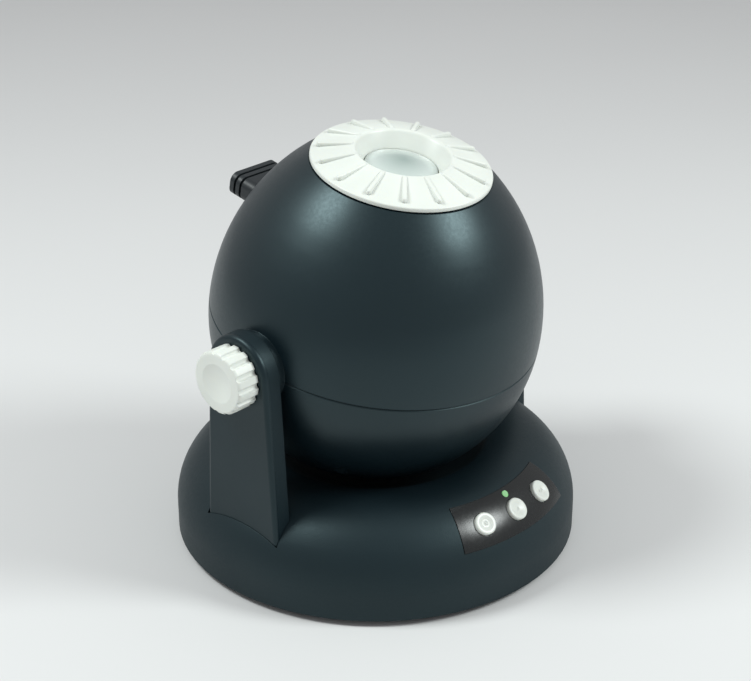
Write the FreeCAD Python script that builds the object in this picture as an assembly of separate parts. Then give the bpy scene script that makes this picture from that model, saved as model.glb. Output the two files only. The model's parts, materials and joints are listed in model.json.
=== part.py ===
"""A home planetarium projector: a dark egg-shaped head with a ribbed white focus ring, tilting between two
arms that stand in a round battery base.

Millimetres, +Z up. The origin is on the table, under the centre of the base. The front, with the buttons, faces -Y
and the disc tray leaves the head at the back, towards +Y. The head is drawn in its own frame, with its origin on the
tilt axis and +Z along the light's path, and is then leaned forward by rest_tilt and lifted by pivot_height.
"""
import math
import os

import FreeCAD
import Part

V = FreeCAD.Vector
X, Y, Z = V(1, 0, 0), V(0, 1, 0), V(0, 0, 1)
ORIGIN = V(0, 0, 0)

# Stance
rest_tilt = 11.5

# Clearances
slide_gap = 0.2          # between a sliding piece and its guide
seat_gap = 0.3           # between pieces of two bodies that rest on each other
turn_gap = 0.1           # round a shaft that turns in its bore
fit_gap = 0.15           # round a trim piece in its recess

# Head shells
ball_radius = 75.0
land_radius = 40.2       # flat land on top of the dome, under the focus ring
land_height = 74.3
shell_wall = 2.2
seam_groove = 0.5
lip_height = 2.0
neck_bore = 33.5
neck_wall = 2.2
neck_length = 16.3
post_inset = 17.0        # from the ball's radius to the middle of the screw posts
post_radius = 4.6
post_clearance = 2.5     # between the posts and the tray's rails
post_pilot = 15.0
vent_count = 7
vent_pitch = 6.0
vent_width = 2.4
vent_low = -46.0
vent_high = -24.0

# Tilt pivot
journal_radius = 9.0
journal_bore = 5.5
hub_radius = 16.0
hub_depth = 7.0          # inwards from the ball's radius
hub_proud = 1.2
flange_radius = 13.5
flange_thickness = 2.5
washer_radius = 15.0
washer_thickness = 1.0
key_size = 3.0
stud_radius = 4.0

# Arms
arm_plate = 6.0
arm_cover = 2.6
arm_head_radius = 17.5
arm_foot_half = 23.0
arm_channel_half = 5.0
arm_channel_depth = 3.6
arm_edge_round = 2.0
arm_foot_reach = 17.0
arm_foot_thickness = 4.0
arm_screw_offset = 13.0

# Knob and cap on the pivot
knob_radius = 14.0
knob_depth = 10.6
knob_flutes = 15
knob_flute_radius = 1.5
knob_edge = 1.6

# Focus ring
ring_radius = 39.7
ring_edge = 1.9          # height of the outer edge
ring_slope = 15.7        # degrees, falling outwards
rim_radius = 20.9
rim_round = 1.6
throat_radius = 16.4
throat_rise = 0.4        # its upper edge, above the land
throat_length = 3.2
ring_wall = 2.2
skirt_outer = 33.1
skirt_inner = 30.1
skirt_length = 18.8
rib_count = 15
rib_phase = 7.8          # degrees, of the first rib
rib_width = 2.8
rib_top_width = 2.1
rib_start_height = 0.6
rib_end_height = 1.9
rib_start_inset = 1.7    # from the rim's inner edge
rib_outer_radius = 37.3
rib_sink = 0.6
retainer_thickness = 1.5
retainer_radius = 35.5
retainer_bite = 0.8

# Focus cam
focus_turn = 45.0        # degrees each way
focus_travel = 2.985     # millimetres each way
cam_pin_radius = 2.0
cam_pin_count = 3
cam_pin_drop = 13.3      # below the land
cam_groove_depth = 1.6

# Lens barrel and lenses
guide_inner = 24.6
guide_wall = 2.2
guide_drop = 4.8         # below the land
barrel_wall = 4.2
barrel_length = 17.5
shoulder_gap = 0.6       # left under the throat at the end of the travel
shoulder_thickness = 2.5
nose_gap = 0.5
nose_wall = 1.3
front_lens_edge = 0.6
front_lens_step = 2.6
front_lens_curve = 36.0
rear_lens_edge = 3.0
rear_lens_curve = 52.0
rear_lens_lift = 7.0     # above the barrel's lower end
lens_gap = 0.1
stop_radius = 13.4
barrel_retainer = 2.5

# Disc tray
slot_clearance = 0.4
slot_low = 23.4
slot_high = 32.0
tray_inset = 38.0        # from the ball's radius to the tray's sides
tray_floor = 24.0
tray_thickness = 2.6
tray_front_inset = 2.0
tray_border = 7.7
grip_half = 14.3
grip_low = 23.6
grip_high = 34.8
grip_reach = 13.8        # behind the dome
grip_corner = 4.0
grip_flange = 2.6
grip_groove = 1.3
grip_groove_depth = 1.3
grip_root = 25.0
grip_pitch = 3.6

# Star disc and its drive
gear_module = 1.25
gear_border = 4.5        # from the tray's side to the disc gear's pitch circle
pinion_teeth = 16
gear_thickness = 3.3
gear_backlash = 0.16
window_ledge = 4.3
film_inset = 2.5
film_thickness = 1.0
clip_height = 0.9
pinion_hub_radius = 5.0
shaft_radius = 1.5
shaft_depth = 4.0
motor_radius = 12.0
motor_length = 22.0
motor_boss_radius = 4.0
motor_ear_reach = 20.0
motor_ear_screw = 16.5
motor_ear = 1.6
motor_ear_half = 3.5

# Chassis and tower
chassis_inset = 9.0      # from the ball's radius
chassis_low = 18.0
chassis_thickness = 3.0
light_spread = 0.4
rail_wall = 3.2
rail_lip = 2.4
rail_end_inset = 23.0
tower_room = 9.4
tower_depth = 27.0
tower_wall = 2.4
tower_deck = 38.0
tower_foot_reach = 6.6
tower_screw_reach = 3.1
tower_screw_offset = 12.0

# Lamp
condenser_lip = 0.6
condenser_edge = 3.0
condenser_bulge = 8.0    # how much its curve's radius exceeds its own
lamp_wall = 2.0
lamp_throat = 14.4
lamp_bottom = -14.0
lamp_flange_reach = 4.0
board_thickness = 1.6
led_size = 7.0
led_dome = 2.6
sink_radius = 16.0
sink_base = 3.4
sink_height = 18.0
sink_fins = 7
sink_fin = 1.3
driver_length = 50.0
driver_width = 34.0
driver_level = -42.0
driver_post = 3.0

# Base
base_margin = 6.9        # from the arms' outer skins to the base's widest circle
base_wall = 2.4
dish_gap = 5.0
dish_angle = 39.0        # degrees from the vertical to the dish's edge, seen from the tilt axis
rim_curve = 6.0
skirt_top = 15.0
cover_bottom = 3.0
pan_thickness = 2.4
pan_lip_height = 4.0
pan_lip = 2.2
foot_inset = 16.0
foot_radius = 7.0
foot_sink = 1.2
base_screw_inset = 33.0
base_post = 4.0
base_post_low = 12.0
base_angles = (45, 135, 225, 315)

# Batteries
cell_radius = 7.25
cell_length = 50.5
cell_pitch = 16.0
cell_count = 3
cell_floor = 0.8
bay_end = 2.4
bay_wall = 1.6
bay_clearance = 1.2      # between the bay's roof and the dish
door_step = 3.5
door_thickness = 1.3
door_rib = 1.8
door_screw_offset = 2.6

# Controls
panel_angle = 45.0       # degrees, where the buttons sit on the base's flank
panel_half_turn = 22.0
panel_low_angle = 27.0
panel_high_angle = 66.0
panel_depth = 0.9
panel_proud = 0.25
button_radius = 5.0
button_pitch = 19.0
button_rise = 1.7
button_bevel = 0.7
button_travel = 1.2
button_flange = 6.4
button_flange_depth = 3.7
button_stem = 2.0
switch_height = 3.1
switch_plunger = 0.5
switch_gap = 0.3
board_depth = 13.0
board_half_length = 33.5
board_half_width = 8.0
light_radius = 1.6
light_offset = 8.2

# Power socket
socket_width = 12.0
socket_height = 6.0
socket_length = 10.0
socket_level = 10.2
socket_recess = 0.5
socket_mouth = 9.0
socket_mouth_height = 3.2
socket_mouth_depth = 6.6
socket_tongue = 0.7

# Screws
screw_shank = 1.5
screw_head = 2.9
screw_head_height = 1.8
screw_slack = 0.2
screw_ledge = 3.0        # of a long screw's head, below the seam it clamps
shell_screw_ledge = 8.0
shell_screw_reach = 12.0
base_screw_reach = 11.0
pilot_radius = 1.5
right_angle = 90.0

# Places that follow from the sizes above
hub_inner = ball_radius - hub_depth
hub_outer = ball_radius + hub_proud
post_circle = ball_radius - post_inset
chassis_radius = ball_radius - chassis_inset
chassis_top = chassis_low + chassis_thickness
tray_half = ball_radius - tray_inset
slot_half = tray_half + slot_clearance
tray_front = tray_half - tray_front_inset
tray_hole = tray_half - tray_border
disc_teeth = round(2 * (tray_half - gear_border) / gear_module)
disc_window = tray_hole - window_ledge
film_radius = tray_hole - film_inset
light_hole = disc_window + light_spread
rail_back = ball_radius - rail_end_inset
post_x = tray_half + slide_gap + rail_wall + post_clearance + post_radius
post_angle = math.degrees(math.acos(post_x / post_circle))
post_angles = (post_angle, 2 * right_angle - post_angle, 2 * right_angle + post_angle, -post_angle)
tower_half = tray_half + tower_room
tower_foot = tower_half + tower_foot_reach
tower_screw = tower_half + tower_screw_reach
condenser_radius = light_hole + condenser_lip
condenser_curve = condenser_radius + condenser_bulge
lamp_flange = condenser_radius + lamp_flange_reach
neck_end = land_height - neck_length
skirt_end = land_height - skirt_length
throat_top = land_height + throat_rise
throat_low = throat_top - throat_length
cam_pin_height = land_height - cam_pin_drop
guide_top = land_height - guide_drop
barrel_shoulder = throat_low - focus_travel - shoulder_gap
barrel_bottom = barrel_shoulder - barrel_length
rear_lens_seat = barrel_bottom + rear_lens_lift
nose_top = throat_top - nose_gap
arm_inner = hub_outer + washer_thickness + seat_gap
arm_outer = arm_inner + arm_plate
cover_outer = arm_outer + arm_cover
base_radius = cover_outer + base_margin
foot_circle = base_radius - foot_inset
base_screw_circle = base_radius - base_screw_inset
pan_top = cover_bottom + pan_thickness
bay_roof = pan_top + cell_floor + 2 * cell_radius + 0.1
dish_radius = ball_radius + dish_gap
pivot_height = bay_roof + bay_wall + bay_clearance + base_wall + dish_radius


def rod(radius, start, end, axis=Z, at=ORIGIN):
    """A cylinder from start to end along an axis that passes through at."""
    return Part.makeCylinder(radius, abs(end - start), at + axis * min(start, end), axis)


def tube(inner, outer, start, end, axis=Z, at=ORIGIN):
    return rod(outer, start, end, axis, at).cut(rod(inner, start, end, axis, at))


def block(low, high):
    """A box between two opposite corners."""
    size = V(*high) - V(*low)
    return Part.makeBox(size.x, size.y, size.z, V(*low))


def outline(points):
    """A closed face in the XZ plane. A point (r, z) is reached by a line, and (mid, end) by an arc."""
    start = V(points[0][0], 0, points[0][1])
    edges, here = [], start
    for step in points[1:]:
        if isinstance(step[0], tuple):
            mid, end = (V(r, 0, z) for r, z in step)
            edges.append(Part.Arc(here, mid, end).toShape())
        else:
            end = V(step[0], 0, step[1])
            edges.append(Part.LineSegment(here, end).toShape())
        here = end
    if here.distanceToPoint(start) > 1e-6:
        edges.append(Part.LineSegment(here, start).toShape())
    return Part.Face(Part.Wire(edges))


def turned(points, sweep=360.0):
    """The solid that an outline makes round the Z axis."""
    return outline(points).revolve(ORIGIN, Z, sweep)


def on_circle(centre, radius, degrees):
    angle = math.radians(degrees)
    return (round(centre[0] + radius * math.cos(angle), 9), round(centre[1] + radius * math.sin(angle), 9))


def chords(centre, radius, start, end, count):
    """Points along an arc, for the straight facets of a hidden inner wall."""
    return [on_circle(centre, radius, start + (end - start) * i / count) for i in range(count + 1)]


def polar(radius, degrees, height=0.0):
    angle = math.radians(degrees)
    return V(radius * math.cos(angle), radius * math.sin(angle), height)


def spun(shape, degrees, axis=Z, at=ORIGIN):
    copy = shape.copy()
    copy.rotate(at, axis, degrees)
    return copy


def mirrored(shape):
    """The same piece on the other side of the plane x = 0."""
    return shape.mirror(ORIGIN, X)


def leaned(shape):
    """Takes a piece of the head from its own frame to the row frame."""
    copy = spun(shape, rest_tilt, X)
    copy.translate(V(0, 0, pivot_height))
    return copy


def screw(head_base, tip, at):
    """A pan-head screw along Z. Its head lies beyond head_base, on the side away from the tip."""
    away = 1 if head_base > tip else -1
    head = rod(screw_head, head_base, head_base + away * screw_head_height, Z, at)
    driver = rod(screw_head * 0.4, head_base + away * screw_head_height * 0.5,
                 head_base + away * screw_head_height, Z, at)
    return head.cut(driver).fuse(rod(screw_shank, head_base, tip, Z, at))


# Dome: one arc, upright at the seam, that reaches the land's edge
dome_rise = ball_radius - land_radius
dome_curve = (land_height ** 2 + dome_rise ** 2) / (2 * dome_rise)
dome_centre = (ball_radius - dome_curve, 0.0)
dome_top_angle = math.degrees(math.asin(land_height / dome_curve))


def dome_width(height, inset=0.0):
    """The dome's radius at a height above the tilt axis."""
    return dome_centre[0] + math.sqrt((dome_curve - inset) ** 2 - height ** 2)


def dome_solid(inset):
    """The dome above the seam as a solid, inset from its outer surface."""
    curve = dome_curve - inset
    top_angle = math.degrees(math.asin((land_height - inset) / curve))
    return turned([(0, 0), (ball_radius - inset, 0),
                   (on_circle(dome_centre, curve, top_angle / 2), on_circle(dome_centre, curve, top_angle)),
                   (0, land_height - inset)])


def pivot_hub(side):
    """The boss round a journal, before the seam splits it between the shells."""
    return rod(hub_radius, side * hub_inner, side * hub_outer, X)


def upper_half():
    return block((-2 * ball_radius, -2 * ball_radius, 0), (2 * ball_radius, 2 * ball_radius, 2 * ball_radius))


def lower_half():
    return block((-2 * ball_radius, -2 * ball_radius, -2 * ball_radius), (2 * ball_radius, 2 * ball_radius, 0))


def pivot_cuts():
    """What both shells lose at the pivots: the journals' bores and the keys' slots."""
    cuts = [rod(journal_radius, -2 * ball_radius, 2 * ball_radius, X)]
    for side in (-1, 1):
        cuts.append(key(side))
    return cuts


def key(side):
    low, high = sorted((side * hub_inner, side * (hub_inner + key_size)))
    return block((low, -key_size / 2, 0), (high, key_size / 2, journal_radius + key_size))


def upper_shell():
    """The dome, with the neck for the focus ring, the tray's slot and half of each pivot hub."""
    inner = dome_curve - shell_wall
    inner_top = math.degrees(math.asin((land_height - shell_wall) / inner))
    neck_outer = neck_bore + neck_wall
    wall = chords(dome_centre, inner, inner_top, 0, 5)
    shell = turned(
        [(ball_radius - seam_groove, 0), (ball_radius, seam_groove),
         (on_circle(dome_centre, dome_curve, dome_top_angle / 2), (land_radius, land_height)),
         (neck_bore, land_height), (neck_bore, neck_end), (neck_outer, neck_end),
         (neck_outer, land_height - shell_wall)] + wall)
    room = dome_solid(shell_wall / 2)
    posts = [rod(post_radius, chassis_low + chassis_thickness, land_height, Z, polar(post_circle, a)).common(room)
             for a in post_angles]
    hubs = [pivot_hub(side).common(upper_half()) for side in (-1, 1)]
    shell = shell.fuse(posts + hubs)
    pilots = [rod(pilot_radius, chassis_low, chassis_low + post_pilot, Z, polar(post_circle, a))
              for a in post_angles]
    slot = block((-slot_half, 0, slot_low), (slot_half, 2 * ball_radius, slot_high))
    return shell.cut(pilots + pivot_cuts() + [slot]).removeSplitter()


def lower_shell():
    """The bowl, with a lip inside the seam, screw posts up to the chassis and posts for the driver board."""
    inner = ball_radius - shell_wall
    lip = inner - slide_gap
    shell = turned(
        [(0, -ball_radius),
         (on_circle((0, 0), ball_radius, -45), (math.sqrt(ball_radius ** 2 - seam_groove ** 2), -seam_groove)),
         (ball_radius - seam_groove, 0), (lip, 0), (lip, lip_height), (lip - 1.4, lip_height), (lip - 1.4, -1.4)]
        + chords((0, 0), inner, -3, -90, 6))
    room = rod(ball_radius, 0, chassis_low).fuse(Part.makeSphere(ball_radius - shell_wall / 2))
    posts = [rod(post_radius, -ball_radius, chassis_low, Z, polar(post_circle, a)).common(room)
             for a in post_angles]
    board_posts = [rod(driver_post, -ball_radius, driver_level, Z, V(x, y, 0)).common(room)
                   for x, y in driver_corners()]
    hubs = [pivot_hub(side).common(lower_half()) for side in (-1, 1)]
    shell = shell.fuse(posts + board_posts + hubs)
    wells = [rod(screw_head + 0.3, -ball_radius, chassis_low - shell_screw_ledge, Z, polar(post_circle, a))
             for a in post_angles]
    holes = [rod(screw_shank + screw_slack, -ball_radius, chassis_low, Z, polar(post_circle, a))
             for a in post_angles]
    hub_notches = [pivot_hub(side).common(upper_half()) for side in (-1, 1)]
    return shell.cut(wells + holes + pivot_cuts() + hub_notches + vents()).removeSplitter()


def vents():
    """Upright slots through the back of the bowl, behind the heat sink."""
    slots = []
    for i in range(vent_count):
        x = (i - (vent_count - 1) / 2) * vent_pitch
        slots.append(block((x - vent_width / 2, 0, vent_low), (x + vent_width / 2, ball_radius, vent_high)))
    return slots


def shell_screws():
    """Four long screws that clamp the chassis between the shells' posts."""
    return Part.Compound([screw(chassis_low - shell_screw_ledge, chassis_top + shell_screw_reach,
                                polar(post_circle, a)) for a in post_angles])


def trunnion(side, bore):
    """A flanged hollow journal, keyed into the hub, that turns in the arm."""
    end = hub_outer + washer_thickness + seat_gap + arm_plate
    body = rod(journal_radius, side * hub_inner, side * end, X)
    flange = rod(flange_radius, side * (hub_inner - flange_thickness), side * hub_inner, X)
    body = body.fuse([flange, key(side)])
    return body.cut(rod(bore, side * (hub_inner - flange_thickness), side * end, X)).removeSplitter()


def arm_profile(grow):
    """The arm's outline in the YZ plane, at x = 0: a foot that narrows to a round head at the pivot."""
    head, foot, low = arm_head_radius + grow, arm_foot_half + grow, pan_top
    drop = pivot_height - low
    reach = math.hypot(foot, drop)
    tangent = math.acos(head / reach) - math.atan2(drop, foot)
    touch = V(0, head * math.cos(tangent), pivot_height + head * math.sin(tangent))
    mirror = V(0, -touch.y, touch.z)
    edges = [
        Part.LineSegment(V(0, foot, low), touch).toShape(),
        Part.Arc(touch, V(0, 0, pivot_height + head), mirror).toShape(),
        Part.LineSegment(mirror, V(0, -foot, low)).toShape(),
        Part.LineSegment(V(0, -foot, low), V(0, foot, low)).toShape()]
    return Part.Face(Part.Wire(edges))


def arm_slab(inner, outer, low, grow=0.0):
    """A layer of the arm between two distances from the middle, above a height."""
    slab = arm_profile(grow)
    slab.translate(V(inner, 0, 0))
    above = block((inner, -2 * arm_foot_half, low), (outer, 2 * arm_foot_half, 2 * pivot_height))
    return slab.extrude(V(outer - inner, 0, 0)).common(above)


def right_arm():
    """The arm's plate, with a cable channel on its outer face and a foot that is screwed to the pan."""
    at_pivot = V(0, 0, pivot_height)
    plate = arm_slab(arm_inner, arm_outer, pan_top)
    foot = block((arm_inner - arm_foot_reach, -arm_foot_half + 3, pan_top),
                 (arm_inner, arm_foot_half - 3, pan_top + arm_foot_thickness))
    gussets = [block((arm_inner - 10, y - 1, pan_top), (arm_inner, y + 1, pan_top + 12)) for y in (-6, 6)]
    channel = block((arm_outer - arm_channel_depth, -arm_channel_half, pan_top + arm_foot_thickness),
                    (arm_outer, arm_channel_half, pivot_height))
    boss = rod(journal_radius + 3.5, arm_inner, arm_outer, X, at_pivot)
    bore = rod(journal_radius + turn_gap, arm_inner, arm_outer, X, at_pivot)
    notch = block((arm_outer - 1.6, -2.5, pivot_height - journal_radius - 4), (arm_outer, 2.5, pivot_height))
    pilots = [rod(pilot_radius, pan_top, pan_top + arm_foot_thickness, Z, V(arm_screw_x, y, 0))
              for y in (-arm_screw_offset, arm_screw_offset)]
    return plate.cut(channel).fuse([boss, foot] + gussets).cut([bore, notch] + pilots).removeSplitter()


arm_screw_x = arm_inner - arm_foot_reach / 2


def right_arm_cover():
    """The arm's outer skin, with a softened edge."""
    skin = arm_slab(arm_outer, cover_outer, pan_top + arm_foot_thickness)
    outer = [e for e in skin.Edges if e.BoundBox.XMin > cover_outer - 0.01
             and e.BoundBox.ZMax > pan_top + arm_foot_thickness + 1]
    return skin.makeFillet(arm_edge_round, outer)


def left_arm_cover():
    """The mirrored skin, bored for the knob's stud."""
    hole = rod(stud_radius + 1.5, -cover_outer, -arm_outer, X, V(0, 0, pivot_height))
    return mirrored(right_arm_cover()).cut(hole)


def friction_washers():
    return Part.Compound([
        tube(journal_radius + seat_gap, washer_radius, side * (arm_inner - washer_thickness), side * arm_inner,
             X, V(0, 0, pivot_height)) for side in (-1, 1)])


def arm_screws():
    return Part.Compound([screw(cover_bottom + 1.2, pan_top + arm_foot_thickness - 0.4, V(x, y, 0))
                          for x in (-arm_screw_x, arm_screw_x) for y in (-arm_screw_offset, arm_screw_offset)])


def knob_body(start, end):
    """A round knob along +X, domed at its outer edge."""
    body = turned([(0, 0), (knob_radius, 0), (knob_radius, end - start - knob_edge),
                   (on_circle((knob_radius - knob_edge, end - start - knob_edge), knob_edge, 45),
                    (knob_radius - knob_edge, end - start)), (0, end - start)])
    body.rotate(ORIGIN, Y, 90)
    body.translate(V(start, 0, 0))
    return body


knob_start = cover_outer + seat_gap
knob_end = knob_start + knob_depth


def tilt_knob():
    """The fluted knob on the left, whose stud screws into the trunnion and clamps the arm. Head frame."""
    body = knob_body(knob_start, knob_end)
    flutes = [spun(rod(knob_flute_radius, knob_start, knob_end, X, V(0, knob_radius + 0.4, 0)),
                   360.0 * i / knob_flutes, X) for i in range(knob_flutes)]
    dimple = turned([(0, 0), (knob_radius * 0.62, 0), ((knob_radius * 0.35, -0.9), (0, -1.3))])
    dimple.rotate(ORIGIN, Y, 90)
    dimple.translate(V(knob_end, 0, 0))
    stud = rod(stud_radius - turn_gap, hub_inner, knob_start, X)
    return mirrored(body.cut(flutes + [dimple]).fuse(stud).removeSplitter())


def pivot_cap():
    """The plain cap over the cable's way through the right pivot."""
    cap = knob_body(cover_outer, knob_end)
    cap.translate(V(0, 0, pivot_height))
    return cap


# Focus ring, along the light's path
ring_low = land_height + 0.5
ring_top = ring_low + ring_edge
slope = math.tan(math.radians(ring_slope))


def ring_face(radius):
    """Height of the ring's sloping face at a radius."""
    return ring_top + (ring_radius - radius) * slope


crest_radius = rim_radius + 2 * rim_round
funnel_top = ring_face(rim_radius) - rim_round


def focus_ring():
    """The white ring: a sloping ribbed face, a funnel down to the lens and a skirt that turns in the neck."""
    body = turned(
        [(ring_radius, ring_low), (ring_radius, ring_top - 0.5),
         ((ring_radius - 0.15, ring_top - 0.08), (ring_radius - 0.55, ring_face(ring_radius - 0.55) - 0.02)),
         (crest_radius, ring_face(crest_radius)),
         ((rim_radius + 0.75 * rim_round, ring_face(rim_radius + rim_round) - 0.25 * rim_round),
          (rim_radius - 0.35, funnel_top)),
         (throat_radius, throat_top), (throat_radius, throat_low), (throat_radius + 1.8, throat_low),
         (throat_radius + 1.8, throat_top - 1),
         (rim_radius + ring_wall, funnel_top - ring_wall),
         (skirt_inner, ring_face(skirt_inner) - 1.2 * ring_wall),
         (skirt_inner, skirt_end), (skirt_outer, skirt_end), (skirt_outer, ring_low + 0.7),
         (ring_radius - 1.2, ring_low + 0.7), (ring_radius - 1.2, ring_low)])
    ribs = [spun(ring_rib(), rib_phase + 360.0 * i / rib_count) for i in range(rib_count)]
    body = body.fuse(ribs)
    snap = tube(skirt_outer - retainer_bite, skirt_outer + 1, retainer_low - 0.1,
                retainer_low + retainer_thickness + 0.1)
    grooves = [spun(cam_groove(), 360.0 * i / cam_pin_count) for i in range(cam_pin_count)]
    return body.cut([snap] + grooves).removeSplitter()


def rib_section(distance, height):
    """The bar's cross-section at a distance along the slope."""
    half, top = rib_width / 2, rib_top_width / 2
    return Part.makePolygon([V(distance, -half, -rib_sink), V(distance, half, -rib_sink), V(distance, half, 0),
                             V(distance, top, height), V(distance, -top, height), V(distance, -half, 0),
                             V(distance, -half, -rib_sink)])


def ring_rib():
    """One raised bar on the sloping face, along +X. It grows from the rim to its round outer end."""
    half, top = rib_width / 2, rib_top_width / 2
    along = 1 / math.cos(math.radians(ring_slope))
    start, end = (rim_radius + rib_start_inset) * along, (rib_outer_radius - half) * along
    bar = Part.makeLoft([rib_section(start, rib_start_height), rib_section(end, rib_end_height)], True, True)
    foot = rod(half, -rib_sink, 0, Z, V(end, 0, 0))
    nose = Part.makeCone(half, top, rib_end_height, V(end, 0, 0), Z)
    bar = bar.fuse([foot, nose]).removeSplitter()
    bar.rotate(ORIGIN, Y, ring_slope)
    bar.translate(V(0, 0, ring_face(0)))
    return bar


retainer_low = neck_end - 0.3 - retainer_thickness


def ring_retainer():
    """The snap ring under the neck that keeps the focus ring in."""
    return tube(skirt_outer - retainer_bite, retainer_radius, retainer_low, retainer_low + retainer_thickness)


def cam_groove():
    """One helical groove inside the skirt. It falls as the angle grows, so turning the ring lifts its pin."""
    spare = math.degrees((cam_pin_radius + slide_gap) / skirt_inner)
    turn = 2 * (focus_turn + spare)
    rise = 2 * focus_travel * turn / (2 * focus_turn)
    middle = skirt_inner
    helix = Part.makeHelix(rise * 360.0 / turn, rise, middle, 0, True)
    start = helix.Vertexes[0].Point
    half = cam_pin_radius + slide_gap
    section = Part.makePolygon([
        V(start.x - 1.5, 0, start.z - half), V(start.x + cam_groove_depth, 0, start.z - half),
        V(start.x + cam_groove_depth, 0, start.z + half), V(start.x - 1.5, 0, start.z + half),
        V(start.x - 1.5, 0, start.z - half)])
    groove = Part.Wire(helix.Edges).makePipeShell([Part.Wire(section.Edges)], True, True)
    groove.translate(V(0, 0, cam_pin_height - rise / 2))
    return spun(groove, turn / 2)


barrel_radius = guide_inner - slide_gap
barrel_bore = barrel_radius - barrel_wall
nose_radius = throat_radius - 0.5
nose_bore = nose_radius - nose_wall


def lens_barrel():
    """The sliding barrel. Its nose rises through the throat of the funnel and carries the front lens."""
    seat, ledge = nose_top - front_lens_step, barrel_shoulder - shoulder_thickness
    return turned(
        [(barrel_bore, barrel_bottom), (barrel_radius, barrel_bottom), (barrel_radius, barrel_shoulder),
         (nose_radius, barrel_shoulder), (nose_radius, nose_top), (nose_bore, nose_top), (nose_bore, seat),
         (stop_radius, seat), (stop_radius, ledge), (barrel_bore, ledge)])


def cam_pins():
    return Part.Compound([spun(rod(cam_pin_radius, barrel_radius, skirt_inner + cam_groove_depth - seat_gap, X,
                                   V(0, 0, cam_pin_height)), 360.0 * i / cam_pin_count)
                          for i in range(cam_pin_count)])


def flat_lens(radius, flat, edge, curve, side=1):
    """A plano-convex lens. The flat face is at the height flat, and side says which way it bulges."""
    sag = curve - math.sqrt(curve ** 2 - radius ** 2)
    half = math.degrees(math.asin(radius / curve)) / 2
    centre = (0, flat + side * (edge + sag - curve))
    return turned([(0, flat), (radius, flat), (radius, flat + side * edge),
                   (on_circle(centre, curve, side * (right_angle - half)), (0, flat + side * (edge + sag)))])


def front_lens():
    """The dome at the bottom of the funnel. A step under it sits in the barrel's nose."""
    dome = flat_lens(nose_radius, nose_top, front_lens_edge, front_lens_curve)
    step = rod(nose_bore - lens_gap, nose_top - front_lens_step, nose_top)
    return dome.fuse(step).removeSplitter()


def rear_lens():
    return flat_lens(barrel_bore - lens_gap, rear_lens_seat, rear_lens_edge, rear_lens_curve)


def lens_retainer():
    return tube(barrel_bore - 3.2, barrel_bore, rear_lens_seat - barrel_retainer, rear_lens_seat)


pinion_y = -gear_module * (disc_teeth + pinion_teeth) / 2
gear_low = tray_floor + tray_thickness + seat_gap
gear_high = gear_low + gear_thickness
film_low = gear_high - 1.5


def optical_chassis():
    """The plate across the head, with the tray's two rails and the light's hole."""
    plate = rod(chassis_radius, chassis_low, chassis_top)
    inner = tray_half + slide_gap
    lip_low = tray_floor + tray_thickness + slide_gap
    rails = []
    for side in (-1, 1):
        for a, b, low, high in (
                (inner, inner + rail_wall, chassis_top, lip_low + 1.8),
                (inner - rail_lip, inner, lip_low, lip_low + 1.8),
                (inner - rail_lip, inner, chassis_top, tray_floor - slide_gap)):
            near, far = sorted((side * a, side * b))
            rails.append(block((near, -tray_front + 1, low), (far, rail_back, high)))
    holes = [rod(light_hole, chassis_low, chassis_top),
             rod(motor_boss_radius + 0.5, chassis_low, chassis_top, Z, V(0, pinion_y, 0))]
    holes += [rod(screw_shank + screw_slack, chassis_low, chassis_top, Z, polar(post_circle, a))
              for a in post_angles]
    holes += [rod(pilot_radius, chassis_low, chassis_top, Z, V(x, y, 0)) for x, y in tower_holes()]
    holes += [rod(pilot_radius, chassis_low, chassis_top, Z, V(x, pinion_y, 0))
              for x in (-motor_ear_screw, motor_ear_screw)]
    return plate.fuse(rails).cut(holes).removeSplitter()


def tower_holes():
    return [(x, y) for x in (-tower_screw, tower_screw) for y in (-tower_screw_offset, tower_screw_offset)]


def lens_tower():
    """The bridge over the tray that carries the barrel's slotted guide tube."""
    deck = block((-tower_half, -tower_depth, tower_deck), (tower_half, tower_depth, tower_deck + tower_wall))
    walls = [block((min(s * tower_half, s * (tower_half - tower_wall)), -tower_depth, chassis_top),
                   (max(s * tower_half, s * (tower_half - tower_wall)), tower_depth, tower_deck))
             for s in (-1, 1)]
    feet = [block((min(s * tower_foot, s * tower_half), -tower_depth + 7, chassis_top),
                  (max(s * tower_foot, s * tower_half), tower_depth - 7, chassis_top + tower_wall))
            for s in (-1, 1)]
    guide = rod(guide_inner + guide_wall, tower_deck, guide_top)
    slot_half_width = cam_pin_radius + slide_gap
    slots = [spun(block((0, -slot_half_width, cam_pin_height - focus_travel - slot_half_width),
                        (guide_inner + 2 * guide_wall, slot_half_width,
                         cam_pin_height + focus_travel + slot_half_width)), 360.0 * i / cam_pin_count)
             for i in range(cam_pin_count)]
    bore = rod(guide_inner, tower_deck, guide_top)
    screws = [rod(screw_shank + screw_slack, chassis_top, chassis_top + tower_wall, Z, V(x, y, 0))
              for x, y in tower_holes()]
    return deck.fuse(walls + feet + [guide]).cut(slots + [bore] + screws).removeSplitter()


def tower_screws():
    return Part.Compound([screw(chassis_top + tower_wall, chassis_low + 0.4, V(x, y, 0))
                          for x, y in tower_holes()])


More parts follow.
